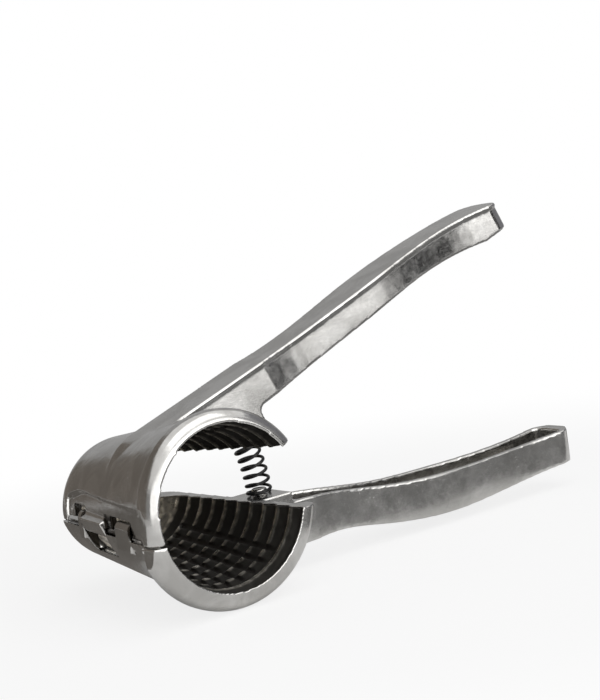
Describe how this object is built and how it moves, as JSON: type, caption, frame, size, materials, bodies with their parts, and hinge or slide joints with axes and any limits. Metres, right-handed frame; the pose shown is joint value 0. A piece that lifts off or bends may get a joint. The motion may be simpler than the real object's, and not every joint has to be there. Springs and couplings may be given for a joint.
{
  "type": "hand nut cracker",
  "caption": "Cast hand nut cracker: hinged levers whose toothed half cups close like a cone round a nut, held open by a coil spring.",
  "frame": {"origin": "middle of the cup's mouth, in the plane of the mouth and on the flat parting face of the lower half cup", "axes": "+X along the handles away from the hinge, +Y into the cup towards its closed end, +Z square to the lower parting face towards the upper lever"},
  "size_m": [0.1662, 0.073, 0.0903],
  "materials": {
    "cast_lever": "tumbled and polished casting",
    "pin_steel": "drawn wire",
    "spring_steel": "black oxide"
  },
  "bodies": {
    "lower": {"lower_lever": "cast_lever", "hinge_pin": "pin_steel", "return_spring": "spring_steel"},
    "upper": {"upper_lever": "cast_lever"}
  },
  "joints": [
    {"name": "lever_hinge", "type": "hinge", "parent": "lower", "child": "upper", "pos_m": [-0.02289, 0, 0.0008], "axis": [0.1322, 0.9912, 0], "range_deg": [0, 22.4], "stiffness_Nm_per_rad": 4.5, "springref_deg": -2.29, "deforming": ["return_spring"]}
  ]
}
